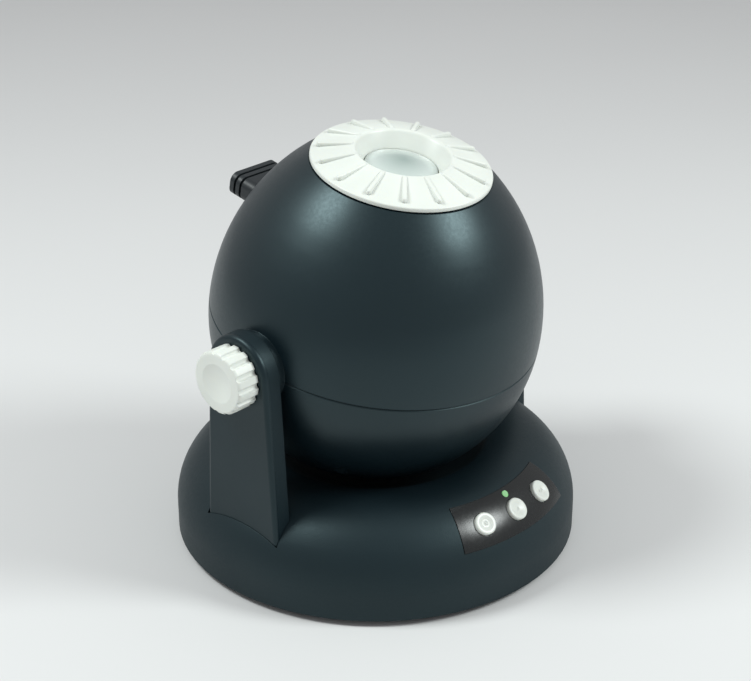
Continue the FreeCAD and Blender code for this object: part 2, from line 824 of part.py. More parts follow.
def disc_tray():
    """The sliding plate that carries the star disc, with a skin that fills the slot in the dome."""
    fascia_half, fascia_gap = slot_half - seat_gap, seat_gap
    plate = block((-tray_half, -tray_front, tray_floor), (tray_half, ball_radius, tray_floor + tray_thickness))
    front = block((-ball_radius, -ball_radius, 0), (ball_radius, 0, ball_radius))
    plate = plate.common(dome_solid(shell_wall / 2).fuse(front))
    window = block((-fascia_half, 0, slot_low + fascia_gap), (fascia_half, 2 * ball_radius, slot_high - fascia_gap))
    skin = dome_solid(0).cut(dome_solid(shell_wall)).common(window)
    return plate.fuse(skin).cut(rod(tray_hole, 0, tray_floor + tray_thickness)).removeSplitter()


def grip_slice(start, end, inset):
    """A slice of the grip across its pull, with rounded corners."""
    piece = block((-grip_half + inset, start, grip_low + inset), (grip_half - inset, end, grip_high - inset))
    return piece.makeFillet(grip_corner - inset, [e for e in piece.Edges if e.BoundBox.YLength > (end - start) / 2])


def tray_grip():
    """The finger grip behind the head, with two grooves round it."""
    grip_end = dome_width(grip_low) + grip_reach
    body = grip_slice(grip_end - grip_root, grip_end, 0)
    for i in range(2):
        far = grip_end - grip_flange - i * grip_pitch
        around = block((-ball_radius, far - grip_groove, 0), (ball_radius, far, ball_radius))
        body = body.cut(around.cut(grip_slice(far - grip_groove, far, grip_groove_depth)))
    over_slot = block((-2 * ball_radius, -2 * ball_radius, slot_high - seat_gap),
                      (2 * ball_radius, 2 * ball_radius, 2 * ball_radius))
    clear = dome_solid(0).fuse(dome_solid(-seat_gap).common(over_slot))
    return body.cut(clear).removeSplitter()


def involute(angle):
    return math.tan(angle) - angle


def gear_blank(teeth, low, high, phase, tip=1.0, root=1.2, flank_steps=3):
    """A spur gear about Z, with a tooth centred on the angle phase."""
    pressure = math.radians(20)
    pitch = gear_module * teeth / 2
    base, outer, inner = pitch * math.cos(pressure), pitch + tip * gear_module, pitch - root * gear_module
    start = max(base, inner)
    flank = []
    for i in range(flank_steps + 1):
        radius = start + (outer - start) * i / flank_steps
        angle = (math.pi / 2 - gear_backlash / gear_module / 2) / teeth
        angle += involute(pressure) - involute(math.acos(base / radius))
        flank.append((radius, angle))
    if inner < base:
        flank.insert(0, (inner, flank[0][1]))
    points = []
    for i in range(teeth):
        middle = math.radians(phase) + 2 * math.pi * i / teeth
        for radius, angle in flank:
            points.append(V(radius * math.cos(middle - angle), radius * math.sin(middle - angle), low))
        for radius, angle in reversed(flank):
            points.append(V(radius * math.cos(middle + angle), radius * math.sin(middle + angle), low))
    face = Part.Face(Part.makePolygon(points + [points[0]]))
    return face.extrude(V(0, 0, high - low))


def disc_gear():
    """The toothed carrier of the star film, with a spigot that turns in the tray's hole."""
    body = gear_blank(disc_teeth, gear_low, gear_high, -90)
    spigot = rod(tray_hole - seat_gap, tray_floor + 0.4, gear_low)
    window = rod(disc_window, tray_floor, gear_high)
    seat = rod(film_radius + lens_gap, film_low, gear_high)
    return body.fuse(spigot).cut([window, seat]).removeSplitter()


def star_film():
    return rod(film_radius, film_low, film_low + film_thickness)


def film_clip():
    low = film_low + film_thickness
    return tube(disc_window - 0.2, film_radius, low, low + clip_height)


def drive_pinion():
    at = V(0, pinion_y, 0)
    body = gear_blank(pinion_teeth, gear_low + 0.3, gear_high - 0.3, 90 + 180.0 / pinion_teeth)
    body.translate(at)
    hub = rod(pinion_hub_radius, gear_high - 0.3, gear_high + 2.5, Z, at)
    return body.fuse(hub).cut(rod(shaft_radius, gear_low, gear_high + 3, Z, at)).removeSplitter()


def motor_shaft():
    return rod(shaft_radius, chassis_low - shaft_depth, gear_high + 2.5, Z, V(0, pinion_y, 0))


def gear_motor():
    """The motor under the chassis, with two ears and a boss round its shaft."""
    at = V(0, pinion_y, 0)
    body = rod(motor_radius, chassis_low - motor_length, chassis_low, Z, at)
    boss = rod(motor_boss_radius, chassis_low, chassis_low + 2, Z, at)
    ears = block((-motor_ear_reach, pinion_y - motor_ear_half, chassis_low - motor_ear),
                 (motor_ear_reach, pinion_y + motor_ear_half, chassis_low))
    holes = [rod(screw_shank + screw_slack, chassis_low - 2, chassis_low, Z, V(x, pinion_y, 0))
             for x in (-motor_ear_screw, motor_ear_screw)]
    shaft = rod(shaft_radius + turn_gap, chassis_low - shaft_depth - 1, chassis_low + 2, Z, at)
    return body.fuse([boss, ears]).cut(holes + [shaft]).removeSplitter()


def motor_screws():
    return Part.Compound([screw(chassis_low - motor_ear, chassis_top - 0.4, V(x, pinion_y, 0))
                          for x in (-motor_ear_screw, motor_ear_screw)])


lamp_bore = condenser_radius + slide_gap
condenser_low = chassis_low - 0.4 - condenser_edge


def condenser_lens():
    return flat_lens(condenser_radius, chassis_low - 0.4, condenser_edge, condenser_curve, -1)


def lamp_housing():
    """The light-tight cup between the lamp and the condenser lens, hung under the chassis."""
    outer = lamp_bore + lamp_wall
    ledge = condenser_low - 1.0
    return turned(
        [(lamp_bore, chassis_low), (lamp_flange, chassis_low), (lamp_flange, chassis_low - 2),
         (outer, chassis_low - 2), (outer, 1), (lamp_throat + lamp_wall, lamp_bottom),
         (lamp_throat, lamp_bottom), (lamp_bore - 1, 1), (lamp_bore - 1, ledge), (lamp_bore, ledge)])


def led_board():
    return rod(lamp_throat + lamp_wall, lamp_bottom - board_thickness, lamp_bottom)


def led_emitter():
    half = led_size / 2
    package = block((-half, -half, lamp_bottom), (half, half, lamp_bottom + 1))
    dome = Part.makeSphere(led_dome, V(0, 0, lamp_bottom + 1)).common(
        rod(led_dome, lamp_bottom + 0.5, lamp_bottom + 9))
    return package.fuse(dome).removeSplitter()


def heat_sink():
    """A round finned sink behind the lamp."""
    top = lamp_bottom - board_thickness
    base = rod(sink_radius, top - sink_base, top)
    room = rod(sink_radius, top - sink_height, top)
    pitch = (2 * sink_radius - 4) / (sink_fins - 1)
    fins = [block((x - sink_fin / 2, -sink_radius, top - sink_height), (x + sink_fin / 2, sink_radius, top)).common(room)
            for x in (-sink_radius + 2 + pitch * i for i in range(sink_fins))]
    return base.fuse(fins).removeSplitter()


def driver_corners():
    return [(x, y) for x in (-driver_length / 2 + 4, driver_length / 2 - 4)
            for y in (-driver_width / 2 + 4, driver_width / 2 - 4)]


def driver_board():
    """The lamp and motor driver, with its larger components soldered on."""
    board = block((-driver_length / 2, -driver_width / 2, driver_level),
                  (driver_length / 2, driver_width / 2, driver_level + board_thickness))
    top = driver_level + board_thickness
    parts = [block((-6, -5, top), (6, 5, top + 1.6)), rod(3.2, top, top + 6, Z, V(15, 4, 0)),
             block((-20, -3, top), (-14, 6, top + 3.2))]
    return board.fuse(parts).removeSplitter()


# Base
rim_centre = ((dish_radius + rim_curve) * math.sin(math.radians(dish_angle)),
              pivot_height - (dish_radius + rim_curve) * math.cos(math.radians(dish_angle)))
flank_gap = base_radius - rim_centre[0]
flank_drop = rim_centre[1] - skirt_top
flank_curve = (flank_gap ** 2 + flank_drop ** 2 - rim_curve ** 2) / (2 * (flank_gap - rim_curve))
flank_centre = (base_radius - flank_curve, skirt_top)
rim_lean = math.degrees(math.atan2(rim_centre[1] - flank_centre[1], rim_centre[0] - flank_centre[0]))


def cover_solid(inset):
    """The base's outer form as a solid of revolution, inset from its surface."""
    dish_edge = on_circle((0, pivot_height), dish_radius + inset, dish_angle - 90)
    dish_mid = on_circle((0, pivot_height), dish_radius + inset, dish_angle / 2 - 90)
    curve = flank_curve - inset
    start = on_circle(flank_centre, curve, rim_lean)
    points = [(0, cover_bottom), (base_radius - inset, cover_bottom), (base_radius - inset, skirt_top),
              (on_circle(flank_centre, curve, rim_lean / 2), start),
              (on_circle(rim_centre, rim_curve - inset, (rim_lean + dish_angle + 90) / 2), dish_edge),
              (dish_mid, (0, pivot_height - dish_radius - inset))]
    return turned(points)


def cover_room():
    """The hollow under the base's top, with straight facets."""
    points = [(0, cover_bottom - 1), (base_radius - base_wall, cover_bottom - 1)]
    points += chords(flank_centre, flank_curve - base_wall, 0, rim_lean, 6)
    points += chords((0, pivot_height), dish_radius + base_wall, dish_angle - 91.5, -90, 4)
    return turned(points)


panel_normal = V(0, -math.cos(math.radians(panel_angle)), math.sin(math.radians(panel_angle)))
panel_up = V(0, math.sin(math.radians(panel_angle)), math.cos(math.radians(panel_angle)))
panel_point = on_circle(flank_centre, flank_curve, panel_angle)
panel_centre = V(0, -panel_point[0], panel_point[1])


def panel_rod(radius, start, end, up=0.0):
    """A cylinder square to the middle of the panel, between two depths below its surface."""
    return Part.makeCylinder(radius, end - start, panel_centre + panel_up * up - panel_normal * end, panel_normal)


def around_base(shape, side):
    """Turns a shape of the middle button to the place of a button beside it."""
    return spun(shape, side * math.degrees(math.asin(button_pitch / panel_point[0])))


def panel_patch(grow, low_offset, high_offset):
    """A patch of the flank, between two offsets from its surface."""
    spread = math.degrees(grow / flank_curve)
    low, high = panel_low_angle - spread, panel_high_angle + spread
    mid = (low + high) / 2
    inner, outer = flank_curve + low_offset, flank_curve + high_offset
    half = panel_half_turn + math.degrees(grow / panel_point[0])
    patch = turned([on_circle(flank_centre, inner, low), on_circle(flank_centre, outer, low),
                    (on_circle(flank_centre, outer, mid), on_circle(flank_centre, outer, high)),
                    on_circle(flank_centre, inner, high),
                    (on_circle(flank_centre, inner, mid), on_circle(flank_centre, inner, low))], 2 * half)
    return spun(patch, -right_angle - half)


def base_cover():
    """The base's top: a dish under the head, a round flank with the panel's recess, and the arms' slots."""
    shell = cover_solid(0).cut(cover_room())
    inside = cover_solid(base_wall / 2)
    posts = [rod(base_post, base_post_low, pivot_height, Z, polar(base_screw_circle, a)).common(inside)
             for a in base_angles]
    board_posts = []
    for x in (-board_half_length + 3.5, board_half_length - 3.5):
        post = panel_rod(2.6, -5, board_depth)
        post.translate(V(x, 0, 0))
        board_posts.append(post.common(inside))
    shell = shell.fuse(posts + board_posts)
    cuts = [rod(pilot_radius, base_post_low, base_post_low + 14, Z, polar(base_screw_circle, a))
            for a in base_angles]
    for side in (-1, 1):
        slot = arm_slab(arm_inner - fit_gap, cover_outer + fit_gap, pan_top, fit_gap)
        cuts.append(slot if side > 0 else mirrored(slot))
        cuts.append(around_base(panel_rod(button_radius + seat_gap, -5, 6), side))
    cuts.append(panel_rod(button_radius + seat_gap, -5, 6))
    cuts.append(panel_rod(light_radius, -5, 8, light_offset))
    cuts.append(panel_patch(fit_gap, -panel_depth, 3))
    cuts.append(socket_block(fit_gap, base_radius - socket_length, base_radius + 1))
    return shell.cut(cuts).removeSplitter()


def socket_block(grow, start, end):
    """A block round the power socket's middle, at the back of the base."""
    half, height = socket_width / 2 + grow, socket_height / 2 + grow
    return block((-half, start, socket_level - height), (half, end, socket_level + height))


def power_socket():
    """The socket for the power lead, with a flat rounded mouth and a contact tongue."""
    end = base_radius - socket_recess
    body = socket_block(0, end - socket_length, end)
    half, radius = socket_mouth / 2 - socket_mouth_height / 2, socket_mouth_height / 2
    mouth_start = end - socket_mouth_depth
    mouth = block((-half, mouth_start, socket_level - radius), (half, end, socket_level + radius))
    mouth = mouth.fuse([rod(radius, mouth_start, end, Y, V(x, 0, socket_level)) for x in (-half, half)])
    tongue = block((-half - 0.4, mouth_start, socket_level - socket_tongue / 2),
                   (half + 0.4, end - 1.2, socket_level + socket_tongue / 2))
    return body.cut(mouth).fuse(tongue).removeSplitter()


def control_panel():
    """The gloss trim round the buttons, let into the flank."""
    holes = [around_base(panel_rod(button_radius + seat_gap, -5, 6), side) for side in (-1, 0, 1)]
    holes.append(panel_rod(light_radius, -5, 8, light_offset))
    return panel_patch(0, -panel_depth, panel_proud).cut(holes)


def board_distance(side):
    """Depth at which a button's own axis meets the control board's plane."""
    centre, normal = (spun(Part.Vertex(v), side * math.degrees(math.asin(button_pitch / panel_point[0]))).Point
                      for v in (panel_centre, panel_normal))
    return (board_depth + (centre - panel_centre).dot(panel_normal)) / normal.dot(panel_normal)


def button(side):
    """A push button: a domed cap, a flange under the cover and a stem over its switch."""
    stem_end = board_distance(side) - switch_height - switch_plunger - button_travel - switch_gap
    cap = panel_rod(button_radius, button_bevel - button_rise, button_flange_depth)
    top = Part.makeCone(button_radius, button_radius - button_bevel, button_bevel,
                        panel_centre + panel_normal * (button_rise - button_bevel), panel_normal)
    flange = panel_rod(button_flange, button_flange_depth, button_flange_depth + 1)
    stem = panel_rod(button_stem, button_flange_depth, stem_end)
    return around_base(cap.fuse([top, flange, stem]).removeSplitter(), side)


def on_panel(shape, depth):
    """Sets a shape drawn in the XY plane square to the panel, at a depth below its middle."""
    turn = FreeCAD.Rotation(X, panel_up, panel_normal, "ZXY")
    shape.Placement = FreeCAD.Placement(panel_centre - panel_normal * depth, turn)
    return shape


def control_board():
    board = block((-board_half_length, -board_half_width, 0), (board_half_length, board_half_width, board_thickness))
    return on_panel(board, board_depth + board_thickness)


def tact_switches():
    solids = []
    for side in (-1, 0, 1):
        foot = around_base(Part.Vertex(panel_centre - panel_normal * board_distance(side)), side).Point
        x, up = foot.x, (foot - panel_centre).dot(panel_up)
        body = block((x - 3, up - 3, 0), (x + 3, up + 3, switch_height))
        body = body.fuse(rod(1.7, switch_height, switch_height + switch_plunger, Z, V(x, up, 0)))
        solids.append(on_panel(body.removeSplitter(), board_depth))
    return Part.Compound(solids)


def status_light():
    """The light pipe above the middle button."""
    fall = flank_curve - math.sqrt(flank_curve ** 2 - light_offset ** 2)
    return panel_rod(light_radius - 0.05, fall - 0.5, board_depth, light_offset)


bay_half_x = cell_length / 2 + bay_end
bay_half_y = cell_pitch * (cell_count - 1) / 2 + cell_radius + 0.8
door_screw_x = bay_half_x + bay_wall + door_screw_offset + 0.4
door_half_x = door_screw_x + screw_head + 1.2
door_half_y = bay_half_y + door_step


def base_pan():
    """The floor of the base: a lip inside the cover, the battery bay, and seats for feet, screws and door."""
    outer = base_radius - base_wall - slide_gap
    pan = rod(outer, cover_bottom, pan_top)
    lip = tube(outer - pan_lip, outer, pan_top, pan_top + pan_lip_height)
    arm_room = [block((min(s * (arm_inner - 1), s * base_radius), -arm_foot_half - 1, pan_top),
                      (max(s * (arm_inner - 1), s * base_radius), arm_foot_half + 1, pivot_height)) for s in (-1, 1)]
    lip = lip.cut(arm_room + [socket_block(1, 0, 2 * base_radius)])
    bay = block((-bay_half_x - bay_wall, -bay_half_y - bay_wall, pan_top),
                (bay_half_x + bay_wall, bay_half_y + bay_wall, bay_roof + bay_wall))
    posts = [rod(base_post, pan_top, base_post_low, Z, polar(base_screw_circle, a)) for a in base_angles]
    door_bosses = [rod(3.4, pan_top, pan_top + 6, Z, V(x, 0, 0)) for x in (-door_screw_x, door_screw_x)]
    pan = pan.fuse([lip, bay] + posts + door_bosses)
    cuts = [block((-bay_half_x, -bay_half_y, 0), (bay_half_x, bay_half_y, bay_roof)),
            block((-door_half_x, -door_half_y, 0), (door_half_x, door_half_y, cover_bottom + door_thickness + 0.1))]
    for a in base_angles:
        cuts.append(rod(screw_shank + screw_slack, 0, base_post_low, Z, polar(base_screw_circle, a)))
        cuts.append(rod(screw_head + 0.3, 0, base_post_low - screw_ledge, Z, polar(base_screw_circle, a)))
        cuts.append(rod(foot_radius + fit_gap, 0, cover_bottom + foot_sink, Z, polar(foot_circle, a)))
    cuts += [rod(pilot_radius, 0, pan_top + 5, Z, V(x, 0, 0)) for x in (-door_screw_x, door_screw_x)]
    for x in (-arm_screw_x, arm_screw_x):
        for y in (-arm_screw_offset, arm_screw_offset):
            cuts.append(rod(screw_shank + screw_slack, 0, pan_top, Z, V(x, y, 0)))
            cuts.append(rod(screw_head + 0.3, 0, cover_bottom + 1.2, Z, V(x, y, 0)))
    return pan.cut(cuts).removeSplitter()


def battery_door():
    """The flush door under the batteries, with a stiffening rib that fits into the bay."""
    half_x, half_y = door_half_x - seat_gap, door_half_y - seat_gap
    top = cover_bottom + door_thickness
    plate = block((-half_x, -half_y, cover_bottom), (half_x, half_y, top))
    corners = [e for e in plate.Edges if e.BoundBox.ZLength > door_thickness / 2]
    plate = plate.makeFillet(1.5, corners)
    x, y = bay_half_x - seat_gap, bay_half_y - seat_gap
    rib = block((-x, -y, top), (x, y, top + door_rib)).cut(
        block((-x + 1.4, -y + 1.4, top), (x - 1.4, y - 1.4, top + door_rib)))
    holes = [rod(screw_shank + screw_slack, 0, 9, Z, V(sx, 0, 0)) for sx in (-door_screw_x, door_screw_x)]
    return plate.fuse(rib).cut(holes).removeSplitter()


def door_screws():
    return Part.Compound([
        rod(screw_shank - turn_gap, cover_bottom - 0.2, pan_top + 3.4, Z, V(x, 0, 0)).fuse(
            rod(screw_head, cover_bottom - 1.2, cover_bottom, Z, V(x, 0, 0))).cut(
            rod(screw_head * 0.4, cover_bottom - 1.2, cover_bottom - 0.6, Z, V(x, 0, 0)))
        for x in (-door_screw_x, door_screw_x)])


def battery_cells():
    """Three cells, laid side by side and turned end for end."""
    height = pan_top + cell_floor + cell_radius
    cells = []
    for i in range(cell_count):
        at = V(0, (i - (cell_count - 1) / 2) * cell_pitch, height)
        side = 1 if i % 2 else -1
        can = rod(cell_radius, -cell_length / 2 + 1, cell_length / 2 - 1, X, at)
        tip = rod(2.7, side * (cell_length / 2 - 1), side * cell_length / 2, X, at)
        cells.append(can.fuse(tip).removeSplitter())
    return Part.Compound(cells)


def battery_contacts():
    """Sprung plates at each end of the bay."""
    height = pan_top + cell_floor + cell_radius
    plates = []
    for i in range(cell_count):
        y = (i - (cell_count - 1) / 2) * cell_pitch
        for side in (-1, 1):
            wall = side * bay_half_x
            near, far = sorted((wall, wall - side * 0.5))
            plate = block((near, y - 5, height - 5), (far, y + 5, height + 5))
            bump = Part.makeCone(2.4, 1.4, bay_end - 0.6, V(wall - side * 0.5, y, height), V(-side, 0, 0))
            plates.append(plate.fuse(bump).removeSplitter())
    return Part.Compound(plates)


def rubber_feet():
    feet = []
    for a in base_angles:
        foot = rod(foot_radius, 0, cover_bottom + foot_sink, Z, polar(foot_circle, a))
        rim = [e for e in foot.Edges if e.BoundBox.ZMax < 0.01]
        feet.append(foot.makeChamfer(0.6, rim))
    return Part.Compound(feet)


def base_screws():
    return Part.Compound([screw(base_post_low - screw_ledge, base_post_low + base_screw_reach,
                                polar(base_screw_circle, a)) for a in base_angles])


def parts():
    """Every node by name. Pieces of the head are drawn in its own frame and leaned here."""
    fixed = {
        "base_pan": base_pan, "base_cover": base_cover, "rubber_feet": rubber_feet, "base_screws": base_screws,
        "control_panel": control_panel, "control_board": control_board, "tact_switches": tact_switches,
        "status_light": status_light, "power_socket": power_socket,
        "battery_cells": battery_cells, "battery_contacts": battery_contacts,
        "battery_door": battery_door, "door_screws": door_screws,
        "right_arm": right_arm, "left_arm": lambda: mirrored(right_arm()),
        "right_arm_cover": right_arm_cover, "left_arm_cover": left_arm_cover,
        "arm_screws": arm_screws, "friction_washers": friction_washers, "pivot_cap": pivot_cap,
        "rotation_button": lambda: button(-1), "power_button": lambda: button(0), "timer_button": lambda: button(1),
    }
    head = {
        "upper_shell": upper_shell, "lower_shell": lower_shell, "shell_screws": shell_screws,
        "left_trunnion": lambda: trunnion(-1, stud_radius), "right_trunnion": lambda: trunnion(1, journal_bore),
        "optical_chassis": optical_chassis, "lens_tower": lens_tower, "tower_screws": tower_screws,
        "condenser_lens": condenser_lens, "lamp_housing": lamp_housing, "led_board": led_board,
        "led_emitter": led_emitter, "heat_sink": heat_sink, "gear_motor": gear_motor, "motor_screws": motor_screws,
        "driver_board": driver_board, "focus_ring": focus_ring, "ring_retainer": ring_retainer,
        "lens_barrel": lens_barrel, "cam_pins": cam_pins, "front_lens": front_lens, "rear_lens": rear_lens,
        "lens_retainer": lens_retainer, "disc_tray": disc_tray, "tray_grip": tray_grip, "disc_gear": disc_gear,
        "star_film": star_film, "film_clip": film_clip, "drive_pinion": drive_pinion, "motor_shaft": motor_shaft,
        "tilt_knob": tilt_knob,
    }
    for name, make in fixed.items():
        yield name, make()
    for name, make in head.items():
        yield name, leaned(make())


def main():
    os.makedirs("parts", exist_ok=True)
    for name, shape in parts():
        bad = [s for s in shape.Solids if not s.isValid() or s.Volume <= 0]
        print(f"{name}: {len(shape.Solids)} solids, {shape.Volume / 1000:.2f} cm3" + (" INVALID" if bad else ""))
        shape.exportStep(f"parts/{name}.step")


main()
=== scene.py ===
"""The look of the planetarium projector, set round its packed construction.

Metres, +Z up, with the front towards -Y.
"""
import json
import math

import bmesh
import bpy
from mathutils import Matrix, Vector


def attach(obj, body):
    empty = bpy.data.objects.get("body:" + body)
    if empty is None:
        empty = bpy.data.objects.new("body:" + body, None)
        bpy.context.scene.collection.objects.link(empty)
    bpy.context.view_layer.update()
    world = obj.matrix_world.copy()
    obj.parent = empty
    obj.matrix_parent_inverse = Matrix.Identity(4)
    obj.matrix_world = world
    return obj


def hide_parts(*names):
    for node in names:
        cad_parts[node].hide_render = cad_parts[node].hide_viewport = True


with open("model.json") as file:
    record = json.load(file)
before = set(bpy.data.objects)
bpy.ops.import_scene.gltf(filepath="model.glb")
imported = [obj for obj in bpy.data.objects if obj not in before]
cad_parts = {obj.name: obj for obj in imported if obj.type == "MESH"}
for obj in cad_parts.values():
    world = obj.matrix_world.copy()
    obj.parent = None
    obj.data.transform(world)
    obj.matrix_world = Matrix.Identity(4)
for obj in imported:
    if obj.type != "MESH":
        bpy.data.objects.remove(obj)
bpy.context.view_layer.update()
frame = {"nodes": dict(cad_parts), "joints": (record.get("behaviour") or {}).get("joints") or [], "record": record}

MM = 0.001

# Camera, at the photograph's viewing angle of the head
camera_azimuth = -47.3      # degrees, 0 looks along +Y
camera_elevation = 24.5
camera_distance = 0.79      # from the head's tilt axis
camera_lens = 84.0          # millimetres on a 36 mm sensor
aim_point = (0.0, 0.0, 0.092)

# Light
world_light = 0.42
backdrop = 0.5
key_direction = (0.759, 0.497, 0.421)       # in the camera's axes: right, up, towards it
fill_direction = (-0.584, 0.683, 0.44)
lamp_distance = 1.15
key_power = 7.5
fill_power = 8.0
lamp_colour = (0.94, 1.0, 0.99)
lamp_size = 0.42

# Colours, as they look
slate = (11, 24, 30)
slate_sheen = (0.7, 0.95, 1.0, 1)      # tint of the light that the slate plastic throws back
warm_white = (232, 236, 229)

# Painted shade on the lens, darker in the middle and paler outwards: where it starts and ends, in metres from the
# lens's middle
lens_painted_shade_start = 0.001
lens_painted_shade_end = 0.0125

# Star film: the scale of each pattern of dots, and a dot's share of its cell
star_dots = ((170, 0.1), (330, 0.11), (620, 0.13), (1100, 0.15))

# Screws, feet, buttons and the battery door, in millimetres
recess_arm = 1.35
recess_half = 0.36
recess_depth = 1.1
screw_head_radius = 2.9
screw_head_height = 1.8
screw_shank_radius = 1.5
screw_tip_radius = 0.25
screw_tip_length = 1.6
foot_radius = 7.0
foot_height = 4.2
groove_starts = (2.2, 4.4)
groove_width = 0.7
groove_depth = 0.5
stem_radius = 2.0
flange_radius = 6.4
cap_radius = 5.0
cap_edge = 0.75
cap_dish = 0.5
pip_radius = 0.5
pip_pitch = 1.9
door_low = 3.0
door_ridges = 5
door_ridge_x = 22.0
door_ridge_pitch = 2.2
door_ridge_size = (0.9, 14.0, 0.8, 1.0)

# Focus ring, in millimetres along the light's path
ring_radius = 39.7
ring_low = 74.8
ring_edge = 1.9
ring_slope = 15.7
rim_radius = 20.9
rim_round = 1.7
throat_radius = 16.4
throat_top = 74.7
throat_low = 71.5
ring_wall = 2.2
skirt_outer = 33.1
skirt_inner = 30.1
skirt_end = 55.5
rib_count = 15
rib_phase = 7.8
rib_half = 1.4
rib_top_half = 1.1
rib_start_height = 0.55
rib_end_height = 1.9
rib_outer = 37.3


def joint(name):
    return next(j for j in frame["joints"] if j["name"] == name)


def head_matrix():
    """Takes a point of the head's own frame, in millimetres, to the row frame at rest."""
    up = Vector(joint("focus_turn")["axis"])
    lean = math.atan2(-up.y, up.z)
    pivot = Matrix.Translation(joint("head_tilt")["pos_m"])
    return pivot @ Matrix.Rotation(lean, 4, "X") @ Matrix.Scale(MM, 4)


HEAD = head_matrix()


def linear(colour):
    """A colour as it looks, 0 to 255, as the linear values that shaders take."""
    values = [c / 255 for c in colour]
    return tuple(c / 12.92 if c <= 0.04045 else ((c + 0.055) / 1.055) ** 2.4 for c in values) + (1.0,)


class Surface:
    """A material in the making, with short calls for the nodes that most surfaces share."""

    def __init__(self, name, roughness, metallic=0.0, specular=0.5):
        self.material = bpy.data.materials.new(name)
        self.material.use_nodes = True
        self.tree = self.material.node_tree
        self.shader = self.tree.nodes["Principled BSDF"]
        self.place = self.node("ShaderNodeTexCoord").outputs["Object"]
        self.set("Roughness", roughness)
        self.set("Metallic", metallic)
        self.set("Specular IOR Level", specular)

    def node(self, kind, **settings):
        made = self.tree.nodes.new(kind)
        for key, value in settings.items():
            setattr(made, key, value)
        return made

    def feed(self, socket, value):
        """Gives a socket a number, a colour or another node's output."""
        if isinstance(value, bpy.types.NodeSocket):
            self.tree.links.new(value, socket)
        else:
            socket.default_value = value

    def set(self, name, value):
        self.feed(self.shader.inputs[name], value)

    def noise(self, scale, detail=2.0, distortion=0.0, place=None):
        made = self.node("ShaderNodeTexNoise")
        self.feed(made.inputs["Vector"], place or self.place)
        made.inputs["Scale"].default_value = scale
        made.inputs["Detail"].default_value = detail
        made.inputs["Distortion"].default_value = distortion
        return made.outputs["Fac"]

    def cells(self, scale, feature="F1", place=None):
        made = self.node("ShaderNodeTexVoronoi", feature=feature)
        self.feed(made.inputs["Vector"], place or self.place)
        made.inputs["Scale"].default_value = scale
        return made

    def stretch(self, x, y, z):
        made = self.node("ShaderNodeMapping")
        self.feed(made.inputs["Vector"], self.place)
        made.inputs["Scale"].default_value = (x, y, z)
        return made.outputs["Vector"]

    def math(self, operation, a, b=0.0):
        made = self.node("ShaderNodeMath", operation=operation)
        self.feed(made.inputs[0], a)
        self.feed(made.inputs[1], b)
        return made.outputs[0]

    def fit(self, value, low, high, to_low=0.0, to_high=1.0):
        made = self.node("ShaderNodeMapRange")
        self.feed(made.inputs["Value"], value)
        for name, number in (("From Min", low), ("From Max", high), ("To Min", to_low), ("To Max", to_high)):
            made.inputs[name].default_value = number
        return made.outputs["Result"]

    def mix(self, amount, a, b):
        made = self.node("ShaderNodeMix", data_type="RGBA")
        self.feed(made.inputs[0], amount)
        self.feed(made.inputs[6], a)
        self.feed(made.inputs[7], b)
        return made.outputs[2]

    def rounded(self, radius):
        """A normal that softens the edges, and a mask that is 1 along them."""
        bevel = self.node("ShaderNodeBevel", samples=4)
        bevel.inputs["Radius"].default_value = radius
        normal = bevel.outputs["Normal"]
        flat = self.node("ShaderNodeNewGeometry").outputs["Normal"]
        dot = self.node("ShaderNodeVectorMath", operation="DOT_PRODUCT")
        self.feed(dot.inputs[0], normal)
        self.feed(dot.inputs[1], flat)
        return normal, self.fit(dot.outputs["Value"], 0.99, 0.8)

    def bump(self, height, distance, normal=None):
        made = self.node("ShaderNodeBump")
        self.feed(made.inputs["Height"], height)
        made.inputs["Distance"].default_value = distance
        if normal is not None:
            self.feed(made.inputs["Normal"], normal)
        self.set("Normal", made.outputs["Normal"])
        return made.outputs["Normal"]


def moulded(name, colour, roughness, grain=0.00002, grain_scale=2600, edge=0.0003, worn=0.25, specular=0.45):
    """Moulded plastic: faint flow in the colour, a fine texture, soft edges and a little rubbing on them."""
    s = Surface(name, roughness, specular=specular)
    normal, edges = s.rounded(edge)
    base = linear(colour)
    paler = tuple(c * 1.22 + 0.004 for c in base[:3]) + (1.0,)
    darker = tuple(c * 0.9 for c in base[:3]) + (1.0,)
    flow = s.fit(s.noise(22, 3), 0.35, 0.65)
    tint = s.mix(flow, darker, base)
    rubbed = s.math("MULTIPLY", edges, s.fit(s.noise(180, 3), 0.4, 0.7, 0.0, worn))
    s.set("Base Color", s.mix(rubbed, tint, paler))
    smear = s.fit(s.noise(9, 4, 0.6), 0.3, 0.7, roughness * 0.88, roughness * 1.14)
    s.set("Roughness", s.math("ADD", smear, s.fit(s.noise(700, 2), 0.3, 0.7, -0.025, 0.025)))
    s.bump(s.noise(grain_scale, 2), grain, normal)
    return s


def slate_plastic(name, roughness, **finish):
    s = moulded(name, slate, roughness, **finish)
    s.set("Specular Tint", slate_sheen)
    return s.material


def head_shell():
    return slate_plastic("head_shell", 0.38, grain=0.000012, worn=0.3, specular=0.56)


def base_shell():
    return slate_plastic("base_shell", 0.5, grain=0.00004, grain_scale=1900)


def arm_plastic():
    return slate_plastic("arm_plastic", 0.52, grain=0.00004, grain_scale=1900)


def arm_skin():
    return slate_plastic("arm_skin", 0.4, grain=0.000014, worn=0.4)


def tray_skin():
    return slate_plastic("tray_skin", 0.4, grain=0.000014, worn=0.4)


def grip_plastic():
    return moulded("grip_plastic", (27, 34, 38), 0.46, grain=0.00003, grain_scale=1500, worn=0.5).material


